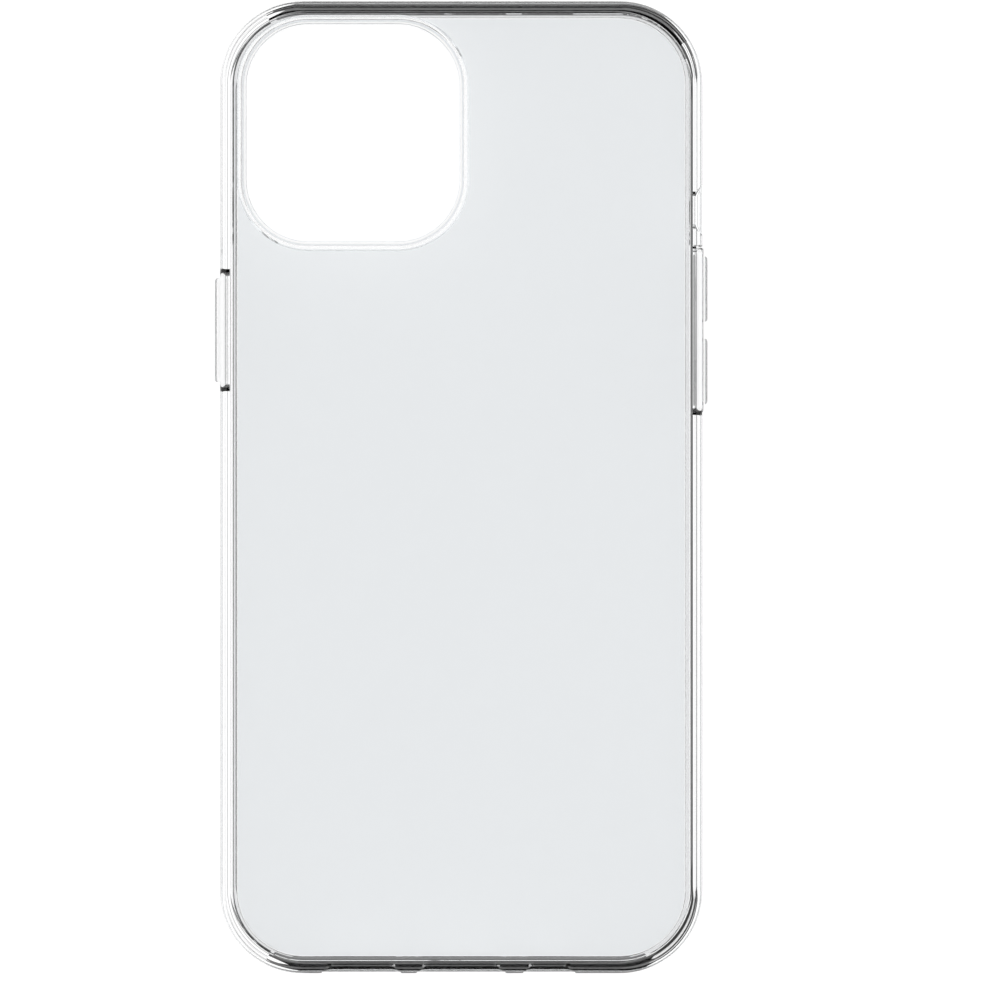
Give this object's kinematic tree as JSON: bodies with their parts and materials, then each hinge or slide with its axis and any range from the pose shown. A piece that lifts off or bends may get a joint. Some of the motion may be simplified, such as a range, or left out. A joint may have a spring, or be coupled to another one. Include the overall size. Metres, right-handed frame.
{
  "type": "phone case",
  "caption": "Clear phone case with a soft bumper frame, hard back panel, raised camera guard ring and sprung side button caps.",
  "frame": {"origin": "centre of the footprint, on the plane that the front lip rests on", "axes": "+X towards the volume buttons, +Y towards the camera end, +Z out of the back panel"},
  "size_m": [0.0764, 0.1508, 0.0126],
  "materials": {
    "clear_soft_frame": "gloss",
    "clear_hard_panel": "gloss",
    "clear_soft_guard": "gloss",
    "clear_soft_carrier": "satin",
    "clear_hard_cap": "gloss"
  },
  "bodies": {
    "case": {"bumper": "clear_soft_frame", "back_panel": "clear_hard_panel", "camera_guard": "clear_soft_guard", "power_button_carrier": "clear_soft_carrier", "volume_button_carrier": "clear_soft_carrier"},
    "power_cap": {"power_button": "clear_hard_cap"},
    "volume_up_cap": {"volume_up_button": "clear_hard_cap"},
    "volume_down_cap": {"volume_down_button": "clear_hard_cap"}
  },
  "joints": [
    {"name": "power_press", "type": "slide", "parent": "case", "child": "power_cap", "axis": [1, 0, 0], "range_m": [0, 0.00035], "stiffness_N_per_m": 2000},
    {"name": "volume_up_press", "type": "slide", "parent": "case", "child": "volume_up_cap", "axis": [-1, 0, 0], "range_m": [0, 0.00035], "stiffness_N_per_m": 2000},
    {"name": "volume_down_press", "type": "slide", "parent": "case", "child": "volume_down_cap", "axis": [-1, 0, 0], "range_m": [0, 0.00035], "stiffness_N_per_m": 2000}
  ]
}
